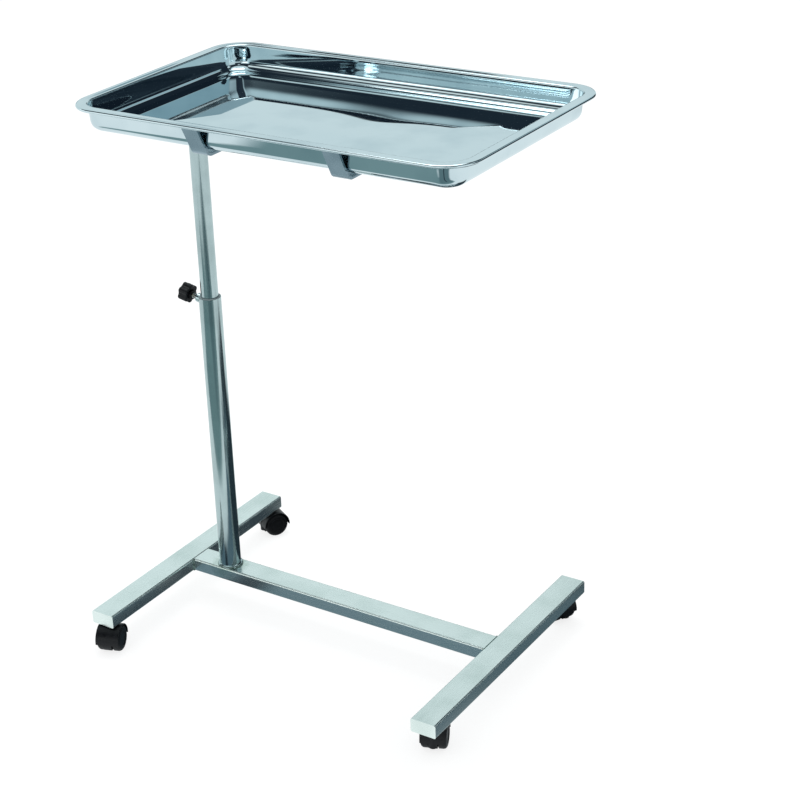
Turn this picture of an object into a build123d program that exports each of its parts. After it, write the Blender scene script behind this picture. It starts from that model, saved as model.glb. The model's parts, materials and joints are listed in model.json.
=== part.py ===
from build123d import *
from math import atan2, cos, radians, sin
import os

# Mayo instrument stand: a lift-off tray on two strip hoops, a telescopic post with a
# clamp knob, and an H base of rectangular tube on four twin-wheel castors.
# Millimetres. X runs along the tray, Y across it, Z up from the floor. The origin is on
# the floor, under the middle of the whole stand.

# Base of rectangular tube
bar_length = 420.0          # each cross bar, along Y
bar_spacing = 541.0         # between the centre lines of the two cross bars
bar_width = 38.0
bar_height = 20.0
bar_wall = 1.5
bar_corner = 2.5
end_plate = 1.5

# Post
post_offset = 75.0          # post axis from the left cross bar's centre line
lower_tube_d = 32.0
post_wall = 1.5
bush_wall = 2.0             # between the two tubes
lower_tube_length = 431.0
upper_tube_length = 410.0
post_reach = 252.5          # upper tube showing above the lower one, as photographed
weld_leg = 3.5
weld_toe = 2.8              # how far the bead spreads on the bar
weld_crown = 2.1            # height of the bead's fullest point
bush_depth = 45.0
bush_lip = 1.0
plug_head = 20.0
plug_spigot = 25.0

# Clamp screw
clamp_drop = 9.5            # screw axis below the lower tube's top, at the post's axis
clamp_tilt = 12.0           # degrees that the screw rises towards the knob
stud_d = 8.0
boss_d = 13.0
boss_length = 6.5
knob_d = 28.0
knob_thickness = 15.0
knob_lobes = 6
knob_lobe_r = 4.6
knob_flute = 2.1            # depth of the hollows between lobes
knob_round = 1.5
knob_hub_r = 7.0
knob_hub_length = 3.5
knob_gap = 7.5              # free thread between boss and knob
stud_seat = 8.0             # thread moulded into the knob
shoe_thickness = 2.2

# Carrier under the tray
arm_width = 30.0
arm_height = 20.0
arm_wall = 1.5
arm_overhang = 20.0         # behind the post axis
strip_width = 24.0
strip_thickness = 3.0
strip_bend = 12.0
strip_lean = 20.0           # how far each end leans out over its height
strip_setback = 2.0         # outer face from the rim's edge
hoop_near_x = 135.0         # hoops' centre lines from the post axis
hoop_far_x = 344.5
hoop_floor_gap = 5.0        # between the tray's underside and the hoop
plug_lip = 2.0
plug_depth = 10.0

# Tray, pressed from one sheet
tray_length = 597.0
tray_width = 370.0
tray_depth = 36.0
tray_offset = 225.5         # tray centre from the post axis
tray_corner = 48.0
tray_rim = 16.0
rim_bead = 2.2              # radius of the curled edge
wall_run = 4.0              # how far the walls lean out over their height
sheet = 1.0
floor_corner = 26.0
floor_bend = 14.0

# Castors
castor_inset = 24.0         # stem axis from the bar's end
castor_trail = 16.0
wheel_d = 38.0
wheel_width = 11.0
web_width = 12.0            # hood between the wheels
wheel_gap = 0.6             # side play of each wheel
hood_gap = 1.2              # between tread and mudguard
hood_wall = 1.4
hood_play = 0.4             # under the stem's collar
axle_d = 5.0
axle_recess = 2.5           # axle end below the wheel's face
wheel_hub = 3.0             # wall around the axle
wheel_rim = 3.5             # wall under the tread
wheel_web = 4.95            # outer disc of the wheel
wheel_dish = 0.9            # face sunk inside its shoulder
hub_cap = 0.9               # closed end over the axle
wheel_edge = 0.6
stem_d = 8.0
stem_collar = 1.0
collar_r = 6.8
nut_height = 6.5
nut_flats = 13.0
thread_end = 1.0            # stem standing out of its nut
# left near, left far, right near, right far: degrees from +X that each one trails
castor_turns = {"left_near": -70.0, "left_far": 60.0, "right_near": 112.0, "right_far": 152.0}

# Clearances
running = 0.05              # radial, shaft in its bore
sliding = 0.1               # radial, tube in its guide
hole_play = 0.3             # radial, screw through a plain hole

# Levels and places that follow from the sizes above
wheel_r = wheel_d / 2
hood_r = wheel_r + hood_gap + hood_wall
collar_z = wheel_r + hood_r + hood_play
castor_height = collar_z + stem_collar
upper_tube_d = lower_tube_d - 2 * (post_wall + bush_wall)
bar_top = castor_height + bar_height
bar_mid = castor_height + bar_height / 2
post_x = (post_offset + bar_width / 2 - tray_offset - tray_length / 2) / 2
left_bar_x = post_x - post_offset
right_bar_x = left_bar_x + bar_spacing
tray_x = post_x + tray_offset
hoop_x = {"tray_hoop_left": post_x + hoop_near_x, "tray_hoop_right": post_x + hoop_far_x}
tube_top = bar_top + lower_tube_length
arm_bottom = tube_top + post_reach
arm_top = arm_bottom + arm_height
hoop_top = arm_top + strip_thickness
tray_z = hoop_top + hoop_floor_gap
rim_top = tray_z + tray_depth
tube_bore_r = lower_tube_d / 2 - post_wall
spigot_r = upper_tube_d / 2 - post_wall - sliding
clamp_z = tube_top - clamp_drop

os.makedirs("parts", exist_ok=True)


def write(part, name):
    part.label = name
    export_step(part, f"parts/{name}.step")


def bar_section(width, height, wall, corner):
    RectangleRounded(width, height, corner)
    RectangleRounded(width - 2 * wall, height - 2 * wall, corner - wall / 2, mode=Mode.SUBTRACT)


# Cross bars, with a hole for each castor stem in the underside
def cross_bar(name, x):
    first = Plane(origin=(x, -bar_length / 2 + end_plate, bar_mid), x_dir=(1, 0, 0), z_dir=(0, 1, 0))
    with BuildPart() as bar:
        with BuildSketch(first):
            bar_section(bar_width, bar_height, bar_wall, bar_corner)
        extrude(amount=bar_length - 2 * end_plate)
        with BuildSketch(Plane.XY.offset(castor_height)):
            with Locations((x, castor_inset - bar_length / 2), (x, bar_length / 2 - castor_inset)):
                Circle(stem_d / 2 + hole_play)
        extrude(amount=bar_wall, mode=Mode.SUBTRACT)
    write(bar.part, name)


cross_bar("left_cross_bar", left_bar_x)
cross_bar("right_cross_bar", right_bar_x)

# Plates welded flush into the four open ends
with BuildPart() as bar_end_plates:
    for side in (-1, 1):
        face = Plane(origin=(0, side * bar_length / 2, bar_mid), x_dir=(1, 0, 0), z_dir=(0, -side, 0))
        with BuildSketch(face):
            with Locations((left_bar_x, 0), (right_bar_x, 0)):
                RectangleRounded(bar_width, bar_height, bar_corner)
        extrude(amount=end_plate)
write(bar_end_plates.part, "bar_end_plates")

# Centre bar, butted between the cross bars
centre_start = Plane(origin=(left_bar_x + bar_width / 2, 0, bar_mid), x_dir=(0, 1, 0), z_dir=(1, 0, 0))
with BuildPart() as centre_bar:
    with BuildSketch(centre_start):
        bar_section(bar_width, bar_height, bar_wall, bar_corner)
    extrude(amount=bar_spacing - bar_width)
write(centre_bar.part, "centre_bar")

# Lower post tube with the weld bead at its foot and the clamp screw's hole
screw_rise = sin(radians(clamp_tilt))
screw_run = cos(radians(clamp_tilt))
clamp_plane = Plane(origin=(post_x, 0, clamp_z), x_dir=(0, 1, 0), z_dir=(-screw_run, 0, screw_rise))
screw_line = Axis((post_x, 0, clamp_z), (-screw_run, 0, screw_rise))
with BuildPart() as lower_post_tube:
    with BuildSketch(Plane.XY.offset(bar_top)):
        with Locations((post_x, 0)):
            Circle(lower_tube_d / 2)
            Circle(tube_bore_r, mode=Mode.SUBTRACT)
    extrude(amount=lower_tube_length)
    with BuildSketch(Plane(origin=(post_x, 0, bar_top), x_dir=(1, 0, 0), z_dir=(0, -1, 0))):
        with BuildLine():
            foot = Line((lower_tube_d / 2 - post_wall / 2, 0), (lower_tube_d / 2 + weld_toe, 0))
            side_up = Line(foot @ 0, (lower_tube_d / 2 - post_wall / 2, weld_leg))
            ThreePointArc(side_up @ 1, (lower_tube_d / 2 + weld_crown, weld_crown), foot @ 1)
        make_face()
    revolve(axis=Axis((post_x, 0, 0), (0, 0, 1)))
    with BuildSketch(clamp_plane):
        Circle(stud_d / 2 + hole_play)
    extrude(amount=lower_tube_d / 2 + boss_length, mode=Mode.SUBTRACT)
write(lower_post_tube.part, "lower_post_tube")

# Nylon bush in the top of the lower tube
with BuildPart() as guide_bush:
    with BuildSketch(Plane.XY.offset(tube_top - bush_depth)):
        with Locations((post_x, 0)):
            Circle(tube_bore_r - running)
    extrude(amount=bush_depth)
    with BuildSketch(Plane.XY.offset(tube_top)):
        with Locations((post_x, 0)):
            Circle(lower_tube_d / 2 - post_wall / 2)
    extrude(amount=bush_lip)
    chamfer(guide_bush.edges().group_by(Axis.Z)[-1], length=bush_lip / 3)
    with BuildSketch(Plane.XY.offset(tube_top - bush_depth)):
        with Locations((post_x, 0)):
            Circle(upper_tube_d / 2 + sliding)
    extrude(amount=bush_depth + bush_lip, mode=Mode.SUBTRACT)
    with BuildSketch(clamp_plane):
        Circle(stud_d / 2 + hole_play)
    extrude(amount=lower_tube_d, mode=Mode.SUBTRACT)
write(guide_bush.part, "guide_bush")

# Threaded boss welded to the tube for the clamp screw
boss_end = lower_tube_d / 2 + boss_length
with BuildPart() as clamp_boss:
    with BuildSketch(clamp_plane):
        Circle(boss_d / 2)
        Circle(stud_d / 2 + running, mode=Mode.SUBTRACT)
    extrude(amount=boss_end)
    chamfer(clamp_boss.edges().group_by(screw_line)[-1].sort_by(SortBy.RADIUS)[-1], length=0.8)
    with BuildSketch(Plane.XY.offset(clamp_z - 2 * boss_d)):
        with Locations((post_x, 0)):
            Circle(lower_tube_d / 2)
    extrude(amount=4 * boss_d, mode=Mode.SUBTRACT)
write(clamp_boss.part, "clamp_boss")

# Clamp shoe: the small disc that the screw presses on the upper tube
shoe_front = (upper_tube_d / 2 + hole_play + stud_d / 2 * screw_rise) / screw_run
shoe_back = shoe_front + shoe_thickness
with BuildPart() as clamp_shoe:
    with BuildSketch(clamp_plane.offset(shoe_front)):
        Circle(stud_d / 2 - running)
    extrude(amount=shoe_back - shoe_front)
    chamfer(clamp_shoe.edges().group_by(screw_line)[0], length=0.4)
write(clamp_shoe.part, "clamp_shoe")

# Clamp stud and the star knob moulded on its end
knob_start = boss_end + knob_gap
knob_face = knob_start + knob_hub_length
with BuildPart() as clamp_stud:
    with BuildSketch(clamp_plane.offset(shoe_back)):
        Circle(stud_d / 2)
    extrude(amount=knob_face + stud_seat - shoe_back)
    chamfer(clamp_stud.edges(), length=0.7)
write(clamp_stud.part, "clamp_stud")

with BuildPart() as clamp_knob:
    with BuildSketch(clamp_plane.offset(knob_face)):
        Circle(knob_d / 2 - knob_flute)
        with PolarLocations(knob_d / 2 - knob_lobe_r, knob_lobes, start_angle=90):
            Circle(knob_lobe_r)
    extrude(amount=knob_thickness)
    fillet(clamp_knob.edges().filter_by(screw_line), radius=knob_round)
    fillet(clamp_knob.edges().group_by(screw_line)[0], radius=knob_round)
    fillet(clamp_knob.edges().group_by(screw_line)[-1], radius=knob_round)
    with BuildSketch(clamp_plane.offset(knob_start)):
        Circle(knob_hub_r)
    extrude(amount=knob_hub_length)
    with BuildSketch(clamp_plane.offset(knob_start)):
        Circle(stud_d / 2 + running)
    extrude(amount=knob_hub_length + stud_seat + running, mode=Mode.SUBTRACT)
write(clamp_knob.part, "clamp_knob")

# Nylon plug that guides the upper tube's lower end inside the lower tube
upper_bottom = arm_bottom - upper_tube_length
with BuildPart() as slide_plug:
    with BuildSketch(Plane.XY.offset(upper_bottom - plug_head)):
        with Locations((post_x, 0)):
            Circle(tube_bore_r - sliding)
    extrude(amount=plug_head)
    with BuildSketch(Plane.XY.offset(upper_bottom)):
        with Locations((post_x, 0)):
            Circle(spigot_r)
    extrude(amount=plug_spigot)
    chamfer(slide_plug.edges().group_by(Axis.Z)[-1], length=1.5)
    chamfer(slide_plug.edges().group_by(Axis.Z)[0], length=1.0)
write(slide_plug.part, "slide_plug")

with BuildPart() as upper_post_tube:
    with BuildSketch(Plane.XY.offset(upper_bottom)):
        with Locations((post_x, 0)):
            Circle(upper_tube_d / 2)
            Circle(upper_tube_d / 2 - post_wall, mode=Mode.SUBTRACT)
    extrude(amount=upper_tube_length)
write(upper_post_tube.part, "upper_post_tube")

# Arm along the tray, with a plug in each end
arm_length = arm_overhang + hoop_far_x + strip_width / 2
arm_start = Plane(
    origin=(post_x - arm_overhang, 0, arm_bottom + arm_height / 2), x_dir=(0, 1, 0), z_dir=(1, 0, 0)
)
with BuildPart() as carrier_arm:
    with BuildSketch(arm_start):
        bar_section(arm_width, arm_height, arm_wall, bar_corner)
    extrude(amount=arm_length)
write(carrier_arm.part, "carrier_arm")

with BuildPart() as arm_end_plugs:
    for end, way in ((arm_start, -1), (arm_start.offset(arm_length), 1)):
        with BuildSketch(end):
            RectangleRounded(arm_width, arm_height, bar_corner)
        extrude(amount=way * plug_lip)
        with BuildSketch(end):
            inner_width = arm_width - 2 * (arm_wall + sliding)
            inner_height = arm_height - 2 * (arm_wall + sliding)
            RectangleRounded(inner_width, inner_height, bar_corner - arm_wall / 2)
        extrude(amount=-way * plug_depth)
    fillet(arm_end_plugs.edges().group_by(Axis.X)[0], radius=0.8)
    fillet(arm_end_plugs.edges().group_by(Axis.X)[-1], radius=0.8)
write(arm_end_plugs.part, "arm_end_plugs")

# Strip hoops: flat under the tray, bent up and out until their ends carry the curled rim
strip_end_z = rim_top - 2 * rim_bead
strip_top_y = tray_width / 2 - strip_setback
strip_foot_y = strip_top_y - strip_lean


def tray_hoop(name, x):
    with BuildPart() as hoop:
        with BuildSketch(Plane.YZ.offset(x - strip_width / 2)):
            with BuildLine():
                FilletPolyline(
                    (-strip_top_y, strip_end_z),
                    (-strip_foot_y, arm_top),
                    (strip_foot_y, arm_top),
                    (strip_top_y, strip_end_z),
                    radius=strip_bend,
                )
                offset(amount=strip_thickness, side=Side.LEFT)
            make_face()
        extrude(amount=strip_width)
        split(bisect_by=Plane.XY.offset(strip_end_z), keep=Keep.BOTTOM)
    write(hoop.part, name)


for hoop_name, hoop_place in hoop_x.items():
    tray_hoop(hoop_name, hoop_place)


# Tray: leaning walls, a rounded floor edge and a flat rim with a curled lip
wall_side = sheet / cos(atan2(wall_run, tray_depth))
mouth_length = tray_length - 2 * tray_rim
mouth_width = tray_width - 2 * tray_rim
mouth_corner = tray_corner - tray_rim


def tray_outline(grow, corner):
    with Locations((tray_x, 0)):
        RectangleRounded(mouth_length + 2 * grow, mouth_width + 2 * grow, corner)


with BuildPart() as tray_cavity:
    with BuildSketch(Plane.XY.offset(tray_z + sheet)):
        tray_outline(-wall_run, floor_corner)
    with BuildSketch(Plane.XY.offset(rim_top)):
        tray_outline(0, mouth_corner)
    loft(ruled=True)
    fillet(tray_cavity.edges().group_by(Axis.Z)[0], radius=floor_bend)

with BuildSketch(Plane.XY.offset(rim_top - rim_bead)) as lip_shape:
    tray_outline(tray_rim - rim_bead, tray_corner - rim_bead)
lip = lip_shape.sketch.wires()[0]

with BuildPart() as tray_pan:
    with BuildSketch(Plane.XY.offset(tray_z)):
        tray_outline(wall_side - wall_run, floor_corner + wall_side)
    with BuildSketch(Plane.XY.offset(rim_top)):
        tray_outline(wall_side, mouth_corner + wall_side)
    loft(ruled=True)
    fillet(tray_pan.edges().group_by(Axis.Z)[0], radius=floor_bend + sheet)
    with BuildSketch(Plane.XY.offset(rim_top - sheet)):
        tray_outline(tray_rim - rim_bead, tray_corner - rim_bead)
    extrude(amount=sheet)
    with BuildSketch(Plane(origin=lip @ 0, z_dir=lip % 0)):
        Circle(rim_bead)
    sweep(path=lip)
    add(tray_cavity.part, mode=Mode.SUBTRACT)
write(tray_pan.part, "tray_pan")

# Castor pieces, built once about their own stem axis and trailing towards +X
side_in = web_width / 2 + wheel_gap
side_out = side_in + wheel_width
hood_cut = wheel_r * 0.9
web_low = wheel_r * 0.4
hub_r = axle_d / 2 + wheel_hub
bore_r = axle_d / 2 + running
tread_in = wheel_r - wheel_rim
hollow_end = side_out - wheel_web
dished = side_out - wheel_dish
hub_end = dished - hub_cap
dish_r = wheel_r * 0.56
shoulder_r = wheel_r * 0.62
axle_line = Axis((castor_trail, 0, wheel_r), (0, 1, 0))
across = Plane(origin=(castor_trail, 0, wheel_r), x_dir=(1, 0, 0), z_dir=(0, -1, 0))
stem_foot = wheel_r + axle_d

with BuildPart() as castor_hood:
    with BuildSketch(across):
        Circle(hood_r)
        Circle(hood_r - hood_wall, mode=Mode.SUBTRACT)
        with Locations((0, hood_cut - wheel_r - hood_r)):
            Rectangle(3 * hood_r, 2 * hood_r, mode=Mode.SUBTRACT)
    extrude(amount=side_out, both=True)
    fillet(castor_hood.edges().filter_by(GeomType.CIRCLE).group_by(SortBy.RADIUS)[-1], radius=hood_wall * 0.7)
    with BuildSketch(across):
        Circle(hood_r - hood_wall / 2)
        with Locations((0, web_low - wheel_r - hood_r)):
            Rectangle(3 * hood_r, 2 * hood_r, mode=Mode.SUBTRACT)
    extrude(amount=web_width / 2, both=True)
    with BuildSketch(Plane.XY.offset(wheel_r / 2)):
        Circle(web_width / 2)
    extrude(amount=collar_z - running - wheel_r / 2)
    with BuildSketch(Plane.XY.offset(stem_foot - 1)):
        Circle(stem_d / 2 + running)
    extrude(amount=castor_height, mode=Mode.SUBTRACT)
    with BuildSketch(across):
        Circle(axle_d / 2)
    extrude(amount=side_out, both=True, mode=Mode.SUBTRACT)

with BuildPart() as castor_axle:
    with BuildSketch(across):
        Circle(axle_d / 2)
    extrude(amount=side_out - axle_recess, both=True)
    chamfer(castor_axle.edges(), length=0.5)

# Wheel with a flat tread, a domed outer face and a hollow inner one
dome = wheel_width * 0.45
with BuildPart() as castor_wheel:
    with BuildSketch(Plane(origin=(castor_trail, 0, wheel_r), x_dir=(0, 1, 0), z_dir=(1, 0, 0))):
        with BuildLine():
            Polyline(
                (hub_end, 0),
                (hub_end, bore_r),
                (side_in, bore_r),
                (side_in, hub_r),
                (hollow_end, hub_r),
                (hollow_end, tread_in),
                (side_in, tread_in),
                (side_in, wheel_r - wheel_edge),
                (side_in + wheel_edge, wheel_r),
                (side_out - dome, wheel_r),
            )
            shoulder = ThreePointArc(
                (side_out - dome, wheel_r),
                (side_out - dome * 0.22, wheel_r - dome * 0.36),
                (side_out, wheel_r - dome * 1.15),
            )
            Polyline(shoulder @ 1, (side_out, shoulder_r), (dished, dish_r), (dished, 0), (hub_end, 0))
        make_face()
    revolve(axis=axle_line)

# Stem screwed into the bar, its collar against the underside
with BuildPart() as castor_stem:
    with BuildSketch(Plane.XY.offset(stem_foot)):
        Circle(stem_d / 2)
    extrude(amount=castor_height + bar_wall + nut_height + thread_end - stem_foot)
    chamfer(castor_stem.edges(), length=0.7)
    with BuildSketch(Plane.XY.offset(collar_z)):
        Circle(collar_r)
    extrude(amount=stem_collar)

with BuildPart() as stem_nut:
    with BuildSketch(Plane.XY.offset(castor_height + bar_wall)):
        RegularPolygon(nut_flats / 2, 6, major_radius=False)
        Circle(stem_d / 2 + running, mode=Mode.SUBTRACT)
    extrude(amount=nut_height)

stems = []
nuts = []
for corner_name, turn in castor_turns.items():
    stem_x = left_bar_x if corner_name.startswith("left") else right_bar_x
    stem_y = bar_length / 2 - castor_inset
    if corner_name.endswith("near"):
        stem_y = -stem_y
    place = Pos(stem_x, stem_y, 0) * Rot(0, 0, turn)
    write(place * castor_hood.part, f"castor_{corner_name}_hood")
    write(place * castor_axle.part, f"castor_{corner_name}_axle")
    write(place * castor_wheel.part, f"castor_{corner_name}_wheel_a")
    write(place * Rot(0, 0, 180) * Pos(-2 * castor_trail, 0, 0) * castor_wheel.part,
          f"castor_{corner_name}_wheel_b")
    stems.append(place * castor_stem.part)
    nuts.append(place * stem_nut.part)
write(Compound(children=stems), "castor_stems")
write(Compound(children=nuts), "stem_nuts")
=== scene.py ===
import json
import math

import bmesh
import bpy
from mathutils import Matrix, Vector, noise


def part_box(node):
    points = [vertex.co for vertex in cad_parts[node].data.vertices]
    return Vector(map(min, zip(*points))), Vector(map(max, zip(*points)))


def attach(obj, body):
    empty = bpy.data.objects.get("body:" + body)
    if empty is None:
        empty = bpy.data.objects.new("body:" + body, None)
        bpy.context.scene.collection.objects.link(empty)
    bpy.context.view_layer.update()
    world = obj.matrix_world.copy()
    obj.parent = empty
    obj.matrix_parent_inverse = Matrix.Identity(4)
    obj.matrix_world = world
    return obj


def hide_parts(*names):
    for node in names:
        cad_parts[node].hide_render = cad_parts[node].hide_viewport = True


# Mayo instrument stand: polished steel tray, round post, H base of rectangular tube, black castors.
# Metres throughout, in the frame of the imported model.

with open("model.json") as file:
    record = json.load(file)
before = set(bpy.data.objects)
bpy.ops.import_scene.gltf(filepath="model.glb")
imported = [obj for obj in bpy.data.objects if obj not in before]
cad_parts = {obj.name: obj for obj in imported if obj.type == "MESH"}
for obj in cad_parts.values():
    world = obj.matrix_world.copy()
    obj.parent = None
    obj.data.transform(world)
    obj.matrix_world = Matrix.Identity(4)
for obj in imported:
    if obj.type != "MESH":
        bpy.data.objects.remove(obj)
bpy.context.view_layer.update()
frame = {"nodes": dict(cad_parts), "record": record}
scene = bpy.context.scene
nodes = frame["nodes"]

MM = 0.001

# The photograph's frame and viewpoint
FRAME_PX = 800
CENTRE_X_PX = 336           # where the lens points, in the photograph's own pixels
CENTRE_Y_PX = 396
FOCAL_PX = 1892.7
SENSOR_MM = 36.0
FARTHEST_SEEN = 100
VIEW_AZIMUTH = 34.95        # degrees to the right of straight ahead
VIEW_ELEVATION = 24.9
VIEW_ROLL = -2.83
EYE_FROM_POST = Vector((1.55996, -1.93441, 1.41782))    # from the post's foot on the centre bar


def view_axes(azimuth, elevation, roll):
    az, el, turn = (math.radians(v) for v in (azimuth, elevation, roll))
    back = Vector((math.sin(az) * math.cos(el), -math.cos(az) * math.cos(el), math.sin(el)))
    level = Vector((0, 0, 1)).cross(back).normalized()
    up = back.cross(level)
    right = level * math.cos(turn) + up * math.sin(turn)
    top = up * math.cos(turn) - level * math.sin(turn)
    return right, top, back


def middle(node):
    low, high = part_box(node)
    return (low + high) / 2


post_foot = middle("lower_post_tube")
post_foot.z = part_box("lower_post_tube")[0].z


def make_camera():
    lens = bpy.data.cameras.new("camera")
    lens.sensor_width = SENSOR_MM
    lens.lens = FOCAL_PX / FRAME_PX * SENSOR_MM
    lens.shift_x = (FRAME_PX / 2 - CENTRE_X_PX) / FRAME_PX
    lens.shift_y = (CENTRE_Y_PX - FRAME_PX / 2) / FRAME_PX
    lens.clip_end = FARTHEST_SEEN
    camera = bpy.data.objects.new("camera", lens)
    scene.collection.objects.link(camera)
    right, top, back = view_axes(VIEW_AZIMUTH, VIEW_ELEVATION, VIEW_ROLL)
    place = Matrix((right, top, back)).transposed().to_4x4()
    place.translation = post_foot + EYE_FROM_POST
    camera.matrix_world = place
    scene.camera = camera


make_camera()


# Colours, the node helper and what every finish is put together from
def colour(code):
    def linear(part):
        value = int(part, 16) / 255
        return value / 12.92 if value <= 0.04045 else ((value + 0.055) / 1.055) ** 2.4

    return tuple(linear(code[i:i + 2]) for i in (1, 3, 5)) + (1.0,)


def add(tree, kind, links=None, inputs=None, **settings):
    """Add a node with its settings, its typed-in inputs and its links."""
    node = tree.nodes.new(kind)
    for key, value in settings.items():
        setattr(node, key, value)
    for socket, value in (inputs or {}).items():
        node.inputs[socket].default_value = value
    for socket, source in (links or {}).items():
        tree.links.new(source, node.inputs[socket])
    return node


NYLON_GLEAM = 0.3           # moulded nylon mirrors less than a clear plastic


def new_material(name, base, roughness, metallic=0.0):
    mat = bpy.data.materials.new(name)
    mat.use_nodes = True
    shader = mat.node_tree.nodes["Principled BSDF"]
    shader.inputs["Base Color"].default_value = colour(base)
    shader.inputs["Roughness"].default_value = roughness
    shader.inputs["Metallic"].default_value = metallic
    if not metallic:
        shader.inputs["Specular IOR Level"].default_value = NYLON_GLEAM
    return mat, mat.node_tree, shader


def blotches(tree, size_mm, detail=2.0, stretch=(1, 1, 1)):
    """Noise whose patches are about size_mm across, longer along an axis with a small stretch number."""
    place = add(tree, "ShaderNodeTexCoord").outputs["Object"]
    scaled = add(tree, "ShaderNodeMapping", {0: place}, {3: stretch}).outputs[0]
    return add(tree, "ShaderNodeTexNoise", {0: scaled}, {2: 1 / (size_mm * MM), 3: detail}).outputs[0]


def wear_in(tree, shader, stain, gloss, relief):
    """Stain the base colour by one pattern, vary the roughness by others and press one into the surface.

    The stain is a pattern, its values where the stain starts and is full, and the stain's colour.
    Each row of the gloss is a pattern, two of its values and the roughness at each, and the rows add up.
    The relief is a pattern and its height in millimetres.
    """
    pattern, start, full, stain_code = stain
    mask = add(tree, "ShaderNodeMapRange", {0: pattern}, {1: start, 2: full}).outputs[0]
    base = shader.inputs["Base Color"]
    shade = add(tree, "ShaderNodeMix", {0: mask}, {6: base.default_value[:], 7: colour(stain_code)}, data_type="RGBA")
    tree.links.new(shade.outputs[2], base)
    total = None
    for pattern, low, high, rough_low, rough_high in gloss:
        part = add(tree, "ShaderNodeMapRange", {0: pattern}, {1: low, 2: high, 3: rough_low, 4: rough_high}).outputs[0]
        if total:
            part = add(tree, "ShaderNodeMath", {0: total, 1: part}, operation="ADD").outputs[0]
        total = part
    tree.links.new(total, shader.inputs["Roughness"])
    pattern, height_mm = relief
    bump = add(tree, "ShaderNodeBump", {"Height": pattern}, {"Distance": height_mm * MM, "Strength": 1.0})
    tree.links.new(bump.outputs[0], shader.inputs["Normal"])
    return shade.outputs[2]


# Stainless steel, one finish for each way it was worked
GRAIN_RUN = 0.02            # how much slower the grain changes along its run than across it
ALONG_X = (GRAIN_RUN, 1, 1)
ALONG_Y = (1, GRAIN_RUN, 1)
ALONG_Z = (1, 1, GRAIN_RUN)
HANDLING_MM = 55            # size of the clouds that hands and cloths leave


def worked_steel(name, base, stain, roughness, run, grain_mm, depth_mm, rough_swing=0.05):
    """Rolled or ground steel: fine lines along the run, faint clouds of handling over them."""
    mat, tree, shader = new_material(name, base, roughness, 1.0)
    grain = blotches(tree, grain_mm, 3.0, run)
    clouds = blotches(tree, HANDLING_MM, 3.0)
    shade = wear_in(tree, shader, (clouds, 0.45, 0.75, stain), [
        (grain, 0.25, 0.75, roughness - rough_swing, roughness + rough_swing),
        (clouds, 0.3, 0.7, -rough_swing / 2, rough_swing / 2),
    ], (grain, depth_mm))
    return mat, tree, shader, shade


FOOT_TINT_REACH = 46 * MM        # how far round the post's foot the bars are tinted darker and greener
FOOT_TINT_FULL = 0.6             # share of that reach inside which the colour is at its strongest
FOOT_TINT_STRENGTH = 0.75
FOOT_TINT_RAGGED = 0.03          # how far the patch's edge wanders
FOOT_TINT_COLOUR = "#B4CABD"


def bar_finish(name, run):
    """Belt-ground bars: the lines spread highlights across each bar, and the base colour turns darker and greener
    round the post's foot.
    """
    mat, tree, shader, shade = worked_steel(name, "#EDF6F2", "#DFEBE6", 0.25, run, 0.9, 0.002)
    # Darker, greener base colour in a ragged ring round the post's foot, where the post meets the bar
    place = add(tree, "ShaderNodeTexCoord").outputs["Object"]
    gap = add(tree, "ShaderNodeVectorMath", {0: place}, {1: post_foot}, operation="DISTANCE").outputs["Value"]
    ragged = blotches(tree, 12, 3.0)
    edge = add(tree, "ShaderNodeMath", {0: ragged, 2: gap}, {1: FOOT_TINT_RAGGED}, operation="MULTIPLY_ADD").outputs[0]
    foot_tint = add(tree, "ShaderNodeMapRange", {0: edge}, {
        1: FOOT_TINT_FULL * FOOT_TINT_REACH, 2: FOOT_TINT_REACH, 3: FOOT_TINT_STRENGTH, 4: 0
    })
    mixed = add(tree, "ShaderNodeMix", {0: foot_tint.outputs[0], 6: shade}, {7: colour(FOOT_TINT_COLOUR)}, data_type="RGBA")
    tree.links.new(mixed.outputs[2], shader.inputs["Base Color"])
    return mat


def tray_finish():
    """Mirror-pressed sheet: clean reflections, softened a little by wiping swirls and fine hairlines."""
    mat, tree, shader = new_material("mirror_pressed_sheet", "#D6E4E8", 0.03, 1.0)
    wiped = blotches(tree, 70, 3.0)
    hairlines = blotches(tree, 1.2, 4.0, ALONG_X)
    wear_in(tree, shader, (wiped, 0.45, 0.8, "#C2D3D9"), [
        (wiped, 0.35, 0.75, 0.018, 0.04),
        (hairlines, 0.55, 0.85, 0.0, 0.03),
    ], (blotches(tree, 9, 1.0), 0.0012))
    return mat


def plated_finish():
    """Bright zinc plate: a fine crystal mottle with a faint blue and straw bloom."""
    mat, tree, shader = new_material("bright_zinc_plate", "#AEB2B8", 0.35, 1.0)
    mottle = blotches(tree, 1.6, 3.0)
    wear_in(tree, shader, (blotches(tree, 5), 0.4, 0.7, "#A7A18E"), [(mottle, 0.3, 0.7, 0.28, 0.42)], (mottle, 0.01))
    return mat


def weld_finish():
    """Stainless weld left as it cooled: matt grey-green beads with darker scale on them."""
    mat, tree, shader = new_material("cooled_stainless_weld", "#9FB3AD", 0.4, 1.0)
    scale = (blotches(tree, 4, 3.0), 0.4, 0.65, "#66756F")
    wear_in(tree, shader, scale, [(blotches(tree, 1.2), 0.3, 0.7, 0.3, 0.5)], (blotches(tree, 0.9), 0.03))
    return mat


def moulded(name, base, worn, roughness, grain_mm, depth_mm):
    """Moulded nylon: a fine spark-eroded grain that breaks up the highlight, paler where it is rubbed."""
    mat, tree, shader = new_material(name, base, roughness)
    rub = blotches(tree, 7, 4.0)
    wear_in(tree, shader, (rub, 0.5, 0.8, worn), [
        (rub, 0.3, 0.7, roughness - 0.06, roughness + 0.08),
    ], (blotches(tree, grain_mm, 2.0), depth_mm))
    return mat


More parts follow.
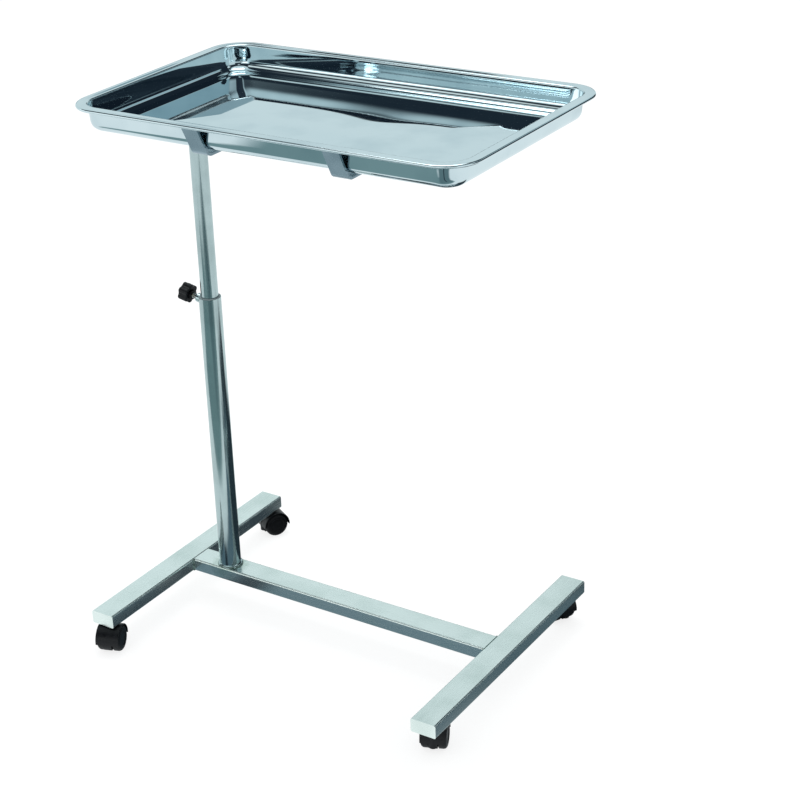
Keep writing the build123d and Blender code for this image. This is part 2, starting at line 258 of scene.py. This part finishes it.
bar_steel_x = bar_finish("ground_stainless_along_x", ALONG_X)
bar_steel_y = bar_finish("ground_stainless_along_y", ALONG_Y)
# Nearly a mirror, with the drawing lines of the tube mill down its length
tube_steel = worked_steel("polished_drawn_tube", "#B7C8C9", "#A5B6B7", 0.13, ALONG_Z, 1.4, 0.003, 0.04)[0]
# Cold-rolled and only wiped down, so darker and softer than the tube
strip_steel = worked_steel("bent_cold_rolled_strip", "#93A8B2", "#7D939E", 0.24, ALONG_Y, 0.8, 0.005)[0]
tray_steel = tray_finish()
plated_steel = plated_finish()
weld_steel = weld_finish()
black_plastic = moulded("black_moulded_nylon", "#05060B", "#0C0E16", 0.4, 0.7, 0.012)
wheel_plastic = moulded("black_wheel_nylon", "#050609", "#0F1016", 0.5, 0.9, 0.02)
dark_nylon = moulded("grey_bush_nylon", "#8D9A9D", "#9CA8AA", 0.45, 0.8, 0.01)
white_nylon = moulded("natural_nylon", "#D8D6CC", "#C9C5B4", 0.45, 0.8, 0.01)

FINISH = {
    "bar_steel": bar_steel_x, "tube_steel": tube_steel, "strip_steel": strip_steel, "tray_steel": tray_steel,
    "plated_steel": plated_steel, "black_plastic": black_plastic, "wheel_plastic": wheel_plastic,
    "dark_nylon": dark_nylon, "white_nylon": white_nylon,
}
for part in frame["record"]["subparts"]:
    node = nodes[part["node"]]
    node.data.materials.clear()
    node.data.materials.append(FINISH[part["material_slot"]])
for name in ("left_cross_bar", "right_cross_bar"):
    nodes[name].data.materials[0] = bar_steel_y


def finish_piece(piece, body, slot, *replaced):
    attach(piece, body)
    if replaced:
        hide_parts(*replaced)


def mesh_object(name, bm, material, smooth=True):
    mesh = bpy.data.meshes.new(name)
    bm.normal_update()
    bm.to_mesh(mesh)
    bm.free()
    mesh.materials.append(material)
    for face in mesh.polygons:
        face.use_smooth = smooth
    piece = bpy.data.objects.new(name, mesh)
    scene.collection.objects.link(piece)
    return piece


def strip_of_faces(bm, rings):
    """Join each ring of points to the next one with a closed band of quads."""
    for first, second in zip(rings, rings[1:]):
        for i in range(len(first)):
            j = (i + 1) % len(first)
            bm.faces.new((first[i], first[j], second[j], second[i]))


def between(start, end, count):
    """The points that part the way from start to end into this many equal steps."""
    for i in range(1, count):
        yield tuple(a + (b - a) * (i / count) for a, b in zip(start, end))


def ramp(value, start, run):
    return min(1, max(0, (value - start) / run))


# The pressed tray: one section swept round rounded rectangles, inner face and outer face alike
RIM = 16 * MM
CORNER = 48 * MM
MOUTH_CORNER = CORNER - RIM
FLOOR_CORNER = 26 * MM
LEAST_CORNER = 4 * MM
LEAN = 4 * MM               # how far the wall leans out over its height
SHEET = 1 * MM
BEAD = 2.2 * MM             # radius of the curled edge
BEAD_STARTS = 88            # degrees, where the curl leaves the rim's top
BEAD_MEETS = 33             # and where it comes back to the rim's underside
RIM_END = 2.1 * BEAD        # inset where the flat of the rim gives way to the curl
RIM_SINK = 0.12 * MM        # the flat of the rim below the crest of its curl
MOUTH_BEND = 2.5 * MM
FLOOR_BEND = 14 * MM
PANEL_START = 92 * MM       # inset where the floor starts to rise to its stretched middle
PANEL_RUN = 60 * MM
PANEL_RISE = 2.3 * MM
PANEL_BAY = 26 * MM         # how much longer the rise is near the middle of the far side
PANEL_BAY_X = 35 * MM
PANEL_BAY_WIDTH = 55 * MM
BEND_STEPS = 14
UNDER_BEND_STEPS = 8
CURL_STEPS = 26
WALL_STEPS = 6
RIM_STEPS = 4
FLOOR_RINGS = 24
FLOOR_RING_POWER = 0.8      # below 1 the rings lie closer together towards the walls
CORNER_STEPS = 16
LONG_STEPS = 84
SHORT_STEPS = 50
QUARTERS = ((1, 1), (-1, 1), (-1, -1), (1, -1))

tray_low, tray_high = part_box("tray_pan")
tray_middle = (tray_low + tray_high) / 2
half_long = (tray_high.x - tray_low.x) / 2
half_short = (tray_high.y - tray_low.y) / 2
tray_depth = tray_high.z - tray_low.z


def corner_radius(inset):
    """Corner radius of the ring that lies this far in from the rim's edge."""
    if inset <= RIM:
        return CORNER - inset
    if inset <= RIM + LEAN:
        return MOUTH_CORNER - (inset - RIM) / LEAN * (MOUTH_CORNER - FLOOR_CORNER)
    return max(LEAST_CORNER, FLOOR_CORNER - (inset - RIM - LEAN))


def bend(centre, radius, start, end, steps=BEND_STEPS):
    """Points of an arc in the section, angles in degrees from straight in towards the middle."""
    for i in range(steps + 1):
        angle = math.radians(start + (end - start) * i / steps)
        yield centre[0] + radius * math.cos(angle), centre[1] + radius * math.sin(angle)


def tray_section():
    """Insets and heights, from the middle of the floor over the rim and back underneath."""
    inside = tray_depth - SHEET
    lean = math.degrees(math.atan2(LEAN, inside))
    sine, cosine = math.sin(math.radians(lean)), math.cos(math.radians(lean))
    climb = (FLOOR_BEND - FLOOR_BEND * sine) / cosine
    floor_centre = (RIM + LEAN - sine * climb + FLOOR_BEND * cosine, FLOOR_BEND - inside)
    drop = (MOUTH_BEND - MOUTH_BEND * sine) / cosine
    mouth_centre = (RIM + sine * drop - MOUTH_BEND * cosine, -MOUTH_BEND - RIM_SINK)
    last = half_short - LEAST_CORNER
    flat = []
    for i in range(FLOOR_RINGS):
        flat.append((last + (floor_centre[0] - last) * (i / FLOOR_RINGS) ** FLOOR_RING_POWER, -inside))
    mouth = list(bend(mouth_centre, MOUTH_BEND, lean, 90))
    top = flat + list(bend(floor_centre, FLOOR_BEND, 270, 180 + lean))
    top += list(between(top[-1], mouth[0], WALL_STEPS)) + mouth
    rim = [mouth_centre[0] + (RIM_END - mouth_centre[0]) * i / RIM_STEPS for i in range(RIM_STEPS + 1)]
    top += [(inset, -RIM_SINK) for inset in rim[1:]]
    curl = list(bend((BEAD, -BEAD), BEAD, BEAD_STARTS, 360 + BEAD_MEETS, CURL_STEPS))
    under = [(inset, -RIM_SINK - SHEET) for inset in reversed(rim[1:])]
    under += list(bend(mouth_centre, MOUTH_BEND - SHEET, 90, lean, UNDER_BEND_STEPS))
    foot = list(bend(floor_centre, FLOOR_BEND + SHEET, 180 + lean, 270))
    under += list(between(under[-1], foot[0], WALL_STEPS)) + foot
    under += [(inset, height - SHEET) for inset, height in reversed(flat)]
    return top + curl + under


def tray_ring(inset):
    """A rounded rectangle as points in order, the same number for every inset."""
    radius = corner_radius(inset)
    long_run, short_run = half_long - inset - radius, half_short - inset - radius
    corners = []
    for quarter, (sx, sy) in enumerate(QUARTERS):
        angles = [math.radians(90 * (quarter + i / CORNER_STEPS)) for i in range(CORNER_STEPS + 1)]
        corners.append([(sx * long_run + radius * math.cos(a), sy * short_run + radius * math.sin(a)) for a in angles])
    points = []
    for quarter, corner in enumerate(corners):
        along = LONG_STEPS if quarter % 2 == 0 else SHORT_STEPS
        points += corner + list(between(corner[-1], corners[(quarter + 1) % 4][0], along))
    return points


WAVE_MM = ((190, 0.40), (75, 0.13))     # size of each swell in the walls and how far it lifts
WAVE_SEED = 1               # noise_vector starts from the clock unless it is given a seed
SWELL_START = 3 * MM        # the rim's edge stays true up to this inset
SWELL_RUN = 20 * MM
CALM_START = 28 * MM        # inset where the walls' swell dies down to the floor's
CALM_RUN = 30 * MM
FLOOR_CALM = 0.12           # the flat floor springs back much truer than the walls


def swell(point, inset):
    """Pressing leaves the sheet slightly uneven."""
    hold = ramp(inset, SWELL_START, SWELL_RUN) * (1 - (1 - FLOOR_CALM) * ramp(inset, CALM_START, CALM_RUN))
    offset = Vector((0, 0, 0))
    for size, lift in WAVE_MM:
        offset += noise.noise_vector(point / (size * MM)) * lift * MM
    return offset * hold


def panel_rise(point, inset):
    """The middle of the floor stands a little higher, where the pressing has stretched it."""
    bay = PANEL_BAY * math.exp(-((point.x - PANEL_BAY_X) / PANEL_BAY_WIDTH) ** 2) if point.y > 0 else 0
    share = ramp(inset, PANEL_START, PANEL_RUN + bay)
    return PANEL_RISE * share * share * (3 - 2 * share)


def close_ring(bm, ring):
    """Fill the narrow innermost ring with quads from its far side to its near side."""
    opposite = len(ring) - SHORT_STEPS
    for i in range(opposite // 2):
        corners = (ring[i], ring[i + 1], ring[opposite - i - 1], ring[opposite - i])
        if len(set(corners)) == 4:
            bm.faces.new(corners)


def make_tray():
    noise.seed_set(WAVE_SEED)
    bm = bmesh.new()
    rings = []
    for inset, height in tray_section():
        ring = []
        for x, y in tray_ring(inset):
            flat_point = Vector((x, y, 0))
            lifted = tray_high.z + height + panel_rise(flat_point, inset)
            point = Vector((tray_middle.x + x, tray_middle.y + y, lifted))
            ring.append(bm.verts.new(point + swell(flat_point, inset)))
        rings.append(ring)
    strip_of_faces(bm, rings)
    for ring in (rings[0], rings[-1]):
        close_ring(bm, ring)
    bmesh.ops.remove_doubles(bm, verts=bm.verts, dist=0.001 * MM)
    bmesh.ops.recalc_face_normals(bm, faces=bm.faces)
    tray = mesh_object("tray_sheet", bm, tray_steel)
    finish_piece(tray, "tray", "tray_steel", "tray_pan")


make_tray()


# The clamp screw's thread, cut as a real helix
THREAD_PITCH = 1.25 * MM
THREAD_DEPTH = 0.7 * MM
THREAD_R = 4 * MM
THREAD_SIDES = 32           # points round the screw
THREAD_RINGS_PER_TURN = 8
THREAD_FLANK = 2.5          # rise of a flank, in thread depths per pitch
THREAD_PEAK = 1.25          # height the flanks would meet at, above the flat crest at 1
RUN_IN = 2 * THREAD_PITCH   # the thread fades in over this at one end
RUN_OUT = THREAD_PITCH      # and out over this at the other
CLAMP_TILT = 12             # degrees that the screw rises towards the knob


def make_thread():
    low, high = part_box("clamp_stud")
    rise = math.radians(CLAMP_TILT)
    out = Vector((-math.cos(rise), 0, math.sin(rise)))
    up = Vector((math.sin(rise), 0, math.cos(rise)))
    side = Vector((0, 1, 0))
    length = ((high.x - low.x) - 2 * THREAD_R * math.sin(rise)) / math.cos(rise)
    start = (low + high) / 2 - out * length / 2
    bm = bmesh.new()
    count = int(length / THREAD_PITCH * THREAD_RINGS_PER_TURN)
    rings = []
    for i in range(count + 1):
        along = length * i / count
        ends = min(1, along / RUN_IN, (length - along) / RUN_OUT)
        ring = []
        for j in range(THREAD_SIDES):
            turn = j / THREAD_SIDES
            phase = (along / THREAD_PITCH - turn) % 1
            crest = max(0, min(1, THREAD_PEAK - THREAD_FLANK * abs(phase - 0.5)))
            radius = THREAD_R - THREAD_DEPTH * (1 - crest * ends)
            angle = 2 * math.pi * turn
            spoke = (up * math.cos(angle) + side * math.sin(angle)) * radius
            ring.append(bm.verts.new(start + out * along + spoke))
        rings.append(ring)
    strip_of_faces(bm, rings)
    bm.faces.new(rings[0])
    bm.faces.new(rings[-1])
    bmesh.ops.recalc_face_normals(bm, faces=bm.faces)
    finish_piece(mesh_object("clamp_thread", bm, plated_steel), "clamp_screw", "plated_steel", "clamp_stud")


make_thread()


# Weld beads: overlapping ripples along each seam, by Geometry Nodes
RIPPLE_LEAST = (0.62, 0.85, 0.8)        # smallest and largest ripple, along the seam, across it and in height
RIPPLE_MOST = (0.8, 1.15, 1.05)


def ripple_tree():
    tree = bpy.data.node_groups.new("weld_ripples", "GeometryNodeTree")
    tree.interface.new_socket("Seam", in_out="INPUT", socket_type="NodeSocketGeometry")
    tree.interface.new_socket("Spacing", in_out="INPUT", socket_type="NodeSocketFloat")
    tree.interface.new_socket("Bead radius", in_out="INPUT", socket_type="NodeSocketFloat")
    tree.interface.new_socket("Seed", in_out="INPUT", socket_type="NodeSocketInt")
    tree.interface.new_socket("Finish", in_out="INPUT", socket_type="NodeSocketMaterial")
    tree.interface.new_socket("Beads", in_out="OUTPUT", socket_type="NodeSocketGeometry")
    given = add(tree, "NodeGroupInput").outputs
    curve = add(tree, "GeometryNodeMeshToCurve", {"Mesh": given["Seam"]}).outputs[0]
    points = add(tree, "GeometryNodeResampleCurve", {"Curve": curve, "Length": given["Spacing"]}, mode="LENGTH")
    ball = add(tree, "GeometryNodeMeshUVSphere", {"Radius": given["Bead radius"]}, {"Segments": 12, "Rings": 8})
    tangent = add(tree, "GeometryNodeInputTangent").outputs[0]
    turned = add(tree, "FunctionNodeAlignRotationToVector", {"Vector": tangent}, axis="X")
    size = add(tree, "FunctionNodeRandomValue", {"Seed": given["Seed"]}, {0: RIPPLE_LEAST, 1: RIPPLE_MOST},
               data_type="FLOAT_VECTOR")
    placed = add(tree, "GeometryNodeInstanceOnPoints", {
        "Points": points.outputs[0], "Instance": ball.outputs[0], "Rotation": turned.outputs[0],
        "Scale": size.outputs[0],
    })
    real = add(tree, "GeometryNodeRealizeInstances", {0: placed.outputs[0]})
    smooth = add(tree, "GeometryNodeSetShadeSmooth", {0: real.outputs[0]})
    done = add(tree, "GeometryNodeSetMaterial", {"Geometry": smooth.outputs[0], "Material": given["Finish"]})
    add(tree, "NodeGroupOutput", {0: done.outputs[0]})
    return tree


weld_ripples = ripple_tree()


def make_welds(name, seams, spacing, radius, seed):
    """Seams are lists of points; all of one name come out as a single mesh."""
    bm = bmesh.new()
    for seam in seams:
        verts = [bm.verts.new(point) for point in seam]
        for first, second in zip(verts, verts[1:]):
            bm.edges.new((first, second))
    path = mesh_object(name + "_path", bm, weld_steel)
    modifier = path.modifiers.new("ripples", "NODES")
    modifier.node_group = weld_ripples
    values = {"Spacing": spacing, "Bead radius": radius, "Seed": seed, "Finish": weld_steel}
    for item in weld_ripples.interface.items_tree:
        if item.in_out == "INPUT" and item.name in values:
            modifier[item.identifier] = values[item.name]
    evaluated = path.evaluated_get(bpy.context.evaluated_depsgraph_get())
    mesh = bpy.data.meshes.new_from_object(evaluated)
    mesh.name = name
    path.modifiers.clear()
    bpy.data.objects.remove(path)
    piece = bpy.data.objects.new(name, mesh)
    scene.collection.objects.link(piece)
    finish_piece(piece, "base", "bar_steel")


POST_R = 16 * MM
SIDE_SEAM_INSET = 1.2 * MM  # a side seam stops short of the bar's rounded edges
SIDE_SEAM_SHIFT = 0.2 * MM  # and lies this far in from the centre bar's ends
FOOT_SEAM_GAP = 1.1 * MM    # the foot's seam runs this far outside the post
FOOT_SEAM_LIFT = 0.9 * MM
FOOT_SEAM_WOBBLE = 0.3 * MM
FOOT_SEAM_STEPS = 96


def make_base_welds():
    bar_low, bar_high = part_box("centre_bar")
    sides = []
    for x in (bar_low.x + SIDE_SEAM_SHIFT, bar_high.x - SIDE_SEAM_SHIFT):
        for y in (bar_low.y, bar_high.y):
            sides.append([Vector((x, y, bar_low.z + SIDE_SEAM_INSET)), Vector((x, y, bar_high.z - SIDE_SEAM_INSET))])
    make_welds("bar_seam_welds", sides, spacing=1.5 * MM, radius=1.7 * MM, seed=5)
    ring = []
    for i in range(FOOT_SEAM_STEPS + 1):
        angle = 2 * math.pi * i / FOOT_SEAM_STEPS
        spoke = Vector((math.cos(angle), math.sin(angle), 0))
        reach = POST_R + FOOT_SEAM_GAP + FOOT_SEAM_WOBBLE * noise.noise(spoke * 2)
        ring.append(post_foot + spoke * reach + Vector((0, 0, FOOT_SEAM_LIFT)))
    make_welds("post_foot_weld", [ring], spacing=1.5 * MM, radius=1.9 * MM, seed=8)


make_base_welds()


# Stage: white sweep, a soft lamp, and light and dark panels that only the metal sees
def within(tree, value, low, high, soft):
    """1 between low and high, easing to 0 over soft on each side."""
    rise = add(tree, "ShaderNodeMapRange", {0: value}, {1: low - soft, 2: low + soft},
               interpolation_type="SMOOTHSTEP").outputs[0]
    fall = add(tree, "ShaderNodeMapRange", {0: value}, {1: high - soft, 2: high + soft, 3: 1, 4: 0},
               interpolation_type="SMOOTHSTEP").outputs[0]
    return add(tree, "ShaderNodeMath", {0: rise, 1: fall}, operation="MULTIPLY").outputs[0]


def facing(tree, direction, azimuth, half, soft):
    """1 where a level direction lies within half a sector of this azimuth, from +Y towards +X."""
    angle = math.radians(azimuth)
    level = add(tree, "ShaderNodeVectorMath", {0: direction}, {1: (1, 1, 0)}, operation="MULTIPLY").outputs[0]
    unit = add(tree, "ShaderNodeVectorMath", {0: level}, operation="NORMALIZE").outputs[0]
    dot = add(tree, "ShaderNodeVectorMath", {0: unit}, {1: (math.sin(angle), math.cos(angle), 0)},
              operation="DOT_PRODUCT").outputs["Value"]
    return add(tree, "ShaderNodeMapRange", {0: dot}, {
        1: math.cos(math.radians(half + soft)), 2: math.cos(math.radians(max(0, half - soft)))
    }, interpolation_type="SMOOTHSTEP").outputs[0]


def lay_over(tree, below, first, second, paint):
    """Lay a colour over what is below it, where both masks are."""
    mask = add(tree, "ShaderNodeMath", {0: first, 1: second}, operation="MULTIPLY").outputs[0]
    return add(tree, "ShaderNodeMix", {0: mask, 6: below}, {7: paint}, data_type="RGBA").outputs[2]


# Azimuths are degrees from +Y towards +X, elevations degrees above the horizon
BACK_RIGHT = (37, 38, 10)   # middle, half width and soft edge of the side that mirrors dark
FRONT_LEFT = -147
OPEN_SKY = "#DCEAED"
STRIP_LIGHT = (1.7, 1.75, 1.75, 1)
CEILING = "#27313B"
CEILING_HEIGHTS = (46, 160, 3)
CEILING_ENDS = (-10, 56.5, 2)
CEILING_DROP = 22           # how much lower it hangs in the front left
CEILING_DROP_SECTOR = (FRONT_LEFT, 62, 16)

# Panels round the stand: middle, half width and soft edge in azimuth; from, to and soft edge in elevation
PANELS = (
    ((FRONT_LEFT, 48, 8), (6, 17, 2), STRIP_LIGHT),                 # bright strip in the tray's bends
    (BACK_RIGHT, (-90, 20.5, 1.5), colour("#18212B")),              # dark foot of the tray's left wall
    (BACK_RIGHT, (21.5, 30.5, 1), colour("#9DB8C2")),               # blue strip of floor beside that wall
    ((-133, 9, 4), (36, 49, 3), colour("#F2FAFA")),                 # soft streak along the tray's back wall
    ((12, 34, 6), (32, 58, 1.5), colour("#1C2630")),                # dark bend at the walls' foot, the bars' edges
    ((-29.7, 7.6, 0.5), (5, 14.3, 0.15), colour("#17212B")),        # dark band along the back of the floor
    ((-43.7, 6.2, 0.5), (5, 14.6, 0.15), colour("#8AA5AF")),        # grey-blue left part of the floor and the rim
    ((137, 19.5, 2.5), (11, 32, 1.5), colour("#323B45")),           # dark left wall of the tray
    ((103, 32, 6), (26, 52, 3), colour("#29323C")),                 # and its lower half
)

# Flags on the floor: x from and to, y from and to, soft edge, colour
FLOOR_FLAGS = (
    (-1.0, 1.1, -1.55, -0.42, 0.05, "#7D989B"),     # teal on the tray's front wall and the posts
    (0.10, 1.2, -1.75, -0.62, 0.10, "#657E83"),     # deeper left of the posts' middle
    (0.62, 0.72, -1.75, -0.90, 0.03, "#2E3C44"),    # dark speck on the tray's front right corner
    (-0.27, 0.80, -0.02, 0.70, 0.09, "#2C3A42"),    # dark right side of the cross bars and the lower post
    (0.27, 0.50, -0.20, 0.30, 0.05, "#4A5E68"),     # slate over that on the right cross bar
    (-0.36, 0.24, -0.20, -0.02, 0.02, "#5F7682"),   # slate front of the centre bar
    (-0.25, -0.19, -0.20, 0.26, 0.02, "#26333C"),   # dark side of the left cross bar by the joint
)
PAPER = "#959595"
PAPER_GLOW = 0.8            # with the lamp's light this renders the sweep white and keeps the shadow
PAPER_MIRRORED = "#F2F9FB"
FAR_WALL = "#10161E"
FAR_FROM, FAR_TO = 2.0, 3.5
SWEEP_HALF = 30


def make_floor():
    bm = bmesh.new()
    corners = [bm.verts.new((sx * SWEEP_HALF, sy * SWEEP_HALF, 0)) for sx, sy in ((-1, -1), (1, -1), (1, 1), (-1, 1))]
    bm.faces.new(corners)
    mat, tree, shader = new_material("white_paper_floor", PAPER, 1.0)
    shader.inputs["Specular IOR Level"].default_value = 0.0
    shader.inputs["Emission Color"].default_value = (1, 1, 1, 1)
    shader.inputs["Emission Strength"].default_value = PAPER_GLOW
    place = add(tree, "ShaderNodeNewGeometry").outputs["Position"]
    split = add(tree, "ShaderNodeSeparateXYZ", {0: place}).outputs
    seen = add(tree, "ShaderNodeRGB").outputs[0]
    seen.default_value = colour(PAPER_MIRRORED)
    for x_from, x_to, y_from, y_to, soft, code in FLOOR_FLAGS:
        across = within(tree, split[0], x_from, x_to, soft)
        seen = lay_over(tree, seen, across, within(tree, split[1], y_from, y_to, soft), colour(code))
    far = add(tree, "ShaderNodeVectorMath", {0: place}, operation="LENGTH").outputs["Value"]
    beyond = add(tree, "ShaderNodeMapRange", {0: far}, {1: FAR_FROM, 2: FAR_TO}, interpolation_type="SMOOTHSTEP")
    seen = lay_over(tree, seen, facing(tree, place, *BACK_RIGHT), beyond.outputs[0], colour(FAR_WALL))
    mirrored = add(tree, "ShaderNodeEmission", {0: seen}, {1: 1.0}).outputs[0]
    glossy = add(tree, "ShaderNodeLightPath").outputs["Is Glossy Ray"]
    mix = add(tree, "ShaderNodeMixShader", {0: glossy, 1: shader.outputs[0], 2: mirrored})
    tree.links.new(mix.outputs[0], tree.nodes["Material Output"].inputs["Surface"])
    mesh_object("floor", bm, mat, False)


SOFT_LIGHT = (0.75, 0.77, 0.78, 1)      # what lights everything that isn't a mirror
WHITE = (1, 1, 1, 1)


def make_world():
    world = bpy.data.worlds.new("studio")
    world.use_nodes = True
    tree = world.node_tree
    tree.nodes.clear()
    ahead = add(tree, "ShaderNodeTexCoord").outputs["Generated"]
    height = add(tree, "ShaderNodeSeparateXYZ", {0: ahead}).outputs[2]
    climb = add(tree, "ShaderNodeMath", {0: height}, operation="ARCSINE").outputs[0]
    elevation = add(tree, "ShaderNodeMath", {0: climb}, {1: math.degrees(1)}, operation="MULTIPLY").outputs[0]
    dropped = facing(tree, ahead, *CEILING_DROP_SECTOR)
    lowered = add(tree, "ShaderNodeMath", {0: dropped, 2: elevation}, {1: CEILING_DROP}, operation="MULTIPLY_ADD")
    seen = add(tree, "ShaderNodeRGB").outputs[0]
    seen.default_value = colour(OPEN_SKY)
    hung = within(tree, lowered.outputs[0], *CEILING_HEIGHTS)
    seen = lay_over(tree, seen, hung, within(tree, elevation, *CEILING_ENDS), colour(CEILING))
    for sector, heights, paint in PANELS:
        seen = lay_over(tree, seen, facing(tree, ahead, *sector), within(tree, elevation, *heights), paint)
    ray = add(tree, "ShaderNodeLightPath").outputs
    metal = add(tree, "ShaderNodeBackground", {0: seen}, {1: 1.0}).outputs[0]
    soft = add(tree, "ShaderNodeBackground", None, {0: SOFT_LIGHT, 1: 1.0}).outputs[0]
    white = add(tree, "ShaderNodeBackground", None, {0: WHITE, 1: 1.0}).outputs[0]
    lit = add(tree, "ShaderNodeMixShader", {0: ray["Is Diffuse Ray"], 1: metal, 2: soft}).outputs[0]
    back = add(tree, "ShaderNodeMixShader", {0: ray["Is Camera Ray"], 1: lit, 2: white}).outputs[0]
    add(tree, "ShaderNodeOutputWorld", {0: back})
    scene.world = world


def make_lamp(name, place, aim, size, power):
    lamp = bpy.data.lights.new(name, "AREA")
    lamp.shape = "RECTANGLE"
    lamp.size, lamp.size_y = size
    lamp.energy = power
    holder = bpy.data.objects.new(name, lamp)
    way = Vector(aim) - Vector(place)
    holder.matrix_world = Matrix.Translation(place) @ way.to_track_quat("-Z", "Y").to_matrix().to_4x4()
    scene.collection.objects.link(holder)


make_floor()
make_world()
make_lamp("overhead_softbox", place=(-0.4, 0.6, 3.0), aim=(0, 0, 0.4), size=(1.6, 1.2), power=22)
scene.view_settings.view_transform = "Standard"
